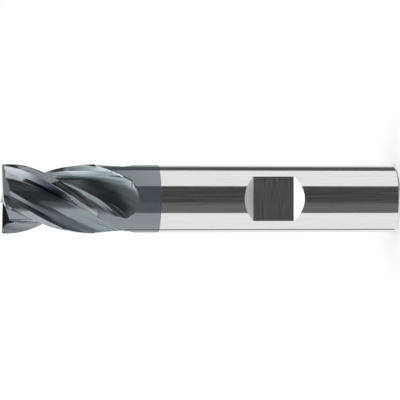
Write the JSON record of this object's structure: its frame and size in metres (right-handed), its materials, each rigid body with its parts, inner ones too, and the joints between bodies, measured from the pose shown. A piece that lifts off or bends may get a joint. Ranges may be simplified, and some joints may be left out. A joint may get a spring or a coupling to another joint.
{
  "type": "square end mill",
  "caption": "Solid-carbide square end mill: four helical teeth on a coated cutting end and a ground cylindrical shank with a side clamping flat.",
  "frame": {"origin": "centre of the shank's end face, on the tool's axis", "axes": "+Z along the axis from the shank end to the cutting tip; the clamping flat faces -Y"},
  "size_m": [0.0122, 0.0122, 0.07],
  "materials": {
    "end_mill": "bright ground shank, dark coated cutting end"
  },
  "bodies": {
    "root": {"end_mill": "end_mill"}
  },
  "joints": []
}
